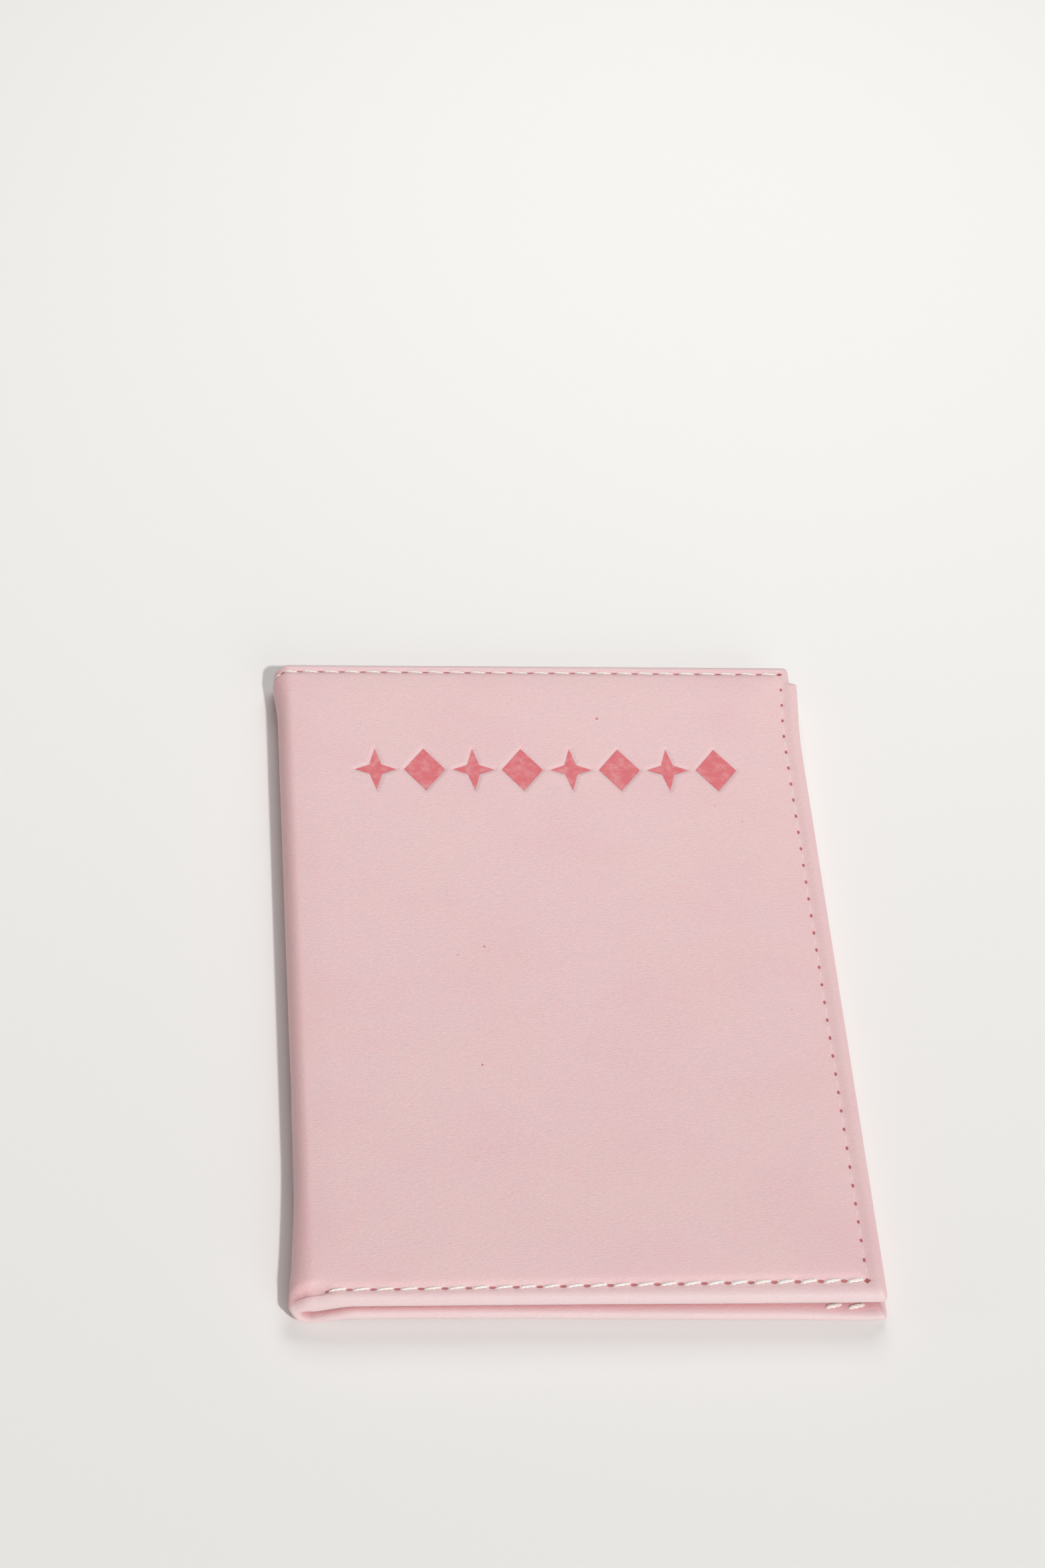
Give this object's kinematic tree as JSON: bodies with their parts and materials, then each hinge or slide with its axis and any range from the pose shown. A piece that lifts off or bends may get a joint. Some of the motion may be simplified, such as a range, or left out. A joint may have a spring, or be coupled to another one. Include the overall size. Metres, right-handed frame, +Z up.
{
  "type": "passport holder",
  "caption": "Padded leatherette passport cover with stitched turned edges, rolled spine, booklet sleeves, card pockets and a stamped ornament.",
  "frame": {"origin": "middle of the back cover's outer face, on which the closed holder lies", "axes": "+Z up out of the closed holder, +Y along the spine towards the top edge, +X towards the opening edge"},
  "size_m": [0.098, 0.14, 0.0075],
  "materials": {
    "leather": "pale pink pebble-free leatherette with a fine wrinkled grain, satin",
    "lining": "plain woven lining cloth, matt",
    "greyboard": "bare greyboard",
    "foam": "closed-cell padding foam, matt",
    "thread": "twisted polyester sewing thread, slight sheen",
    "foil": "coral pigment foil, slightly mottled satin"
  },
  "bodies": {
    "back_cover": {"back_leather": "leather", "back_foam": "foam", "back_board": "greyboard", "back_lining": "lining", "back_sleeve": "leather", "back_needle_thread": "thread", "back_bobbin_thread": "thread"},
    "spine": {"spine_leather": "leather", "spine_lining": "lining", "spine_needle_thread": "thread", "spine_bobbin_thread": "thread"},
    "front_cover": {"front_leather": "leather", "front_foam": "foam", "front_board": "greyboard", "front_lining": "lining", "front_sleeve": "leather", "card_pocket_deep": "leather", "card_pocket_shallow": "leather", "pocket_thread": "thread", "front_needle_thread": "thread", "front_bobbin_thread": "thread", "ornament_foil": "foil"}
  },
  "joints": [
    {"name": "spine_fold", "type": "hinge", "parent": "back_cover", "child": "spine", "pos_m": [-0.049, 0, 0], "axis": [0, -1, 0], "range_deg": [0, 90]},
    {"name": "cover_fold", "type": "hinge", "parent": "spine", "child": "front_cover", "pos_m": [-0.049, 0, 0.0075], "axis": [0, -1, 0], "range_deg": [0, 90]}
  ],
  "couplings": [
    {"joint": "cover_fold", "follows": "spine_fold", "ratio": 1}
  ]
}
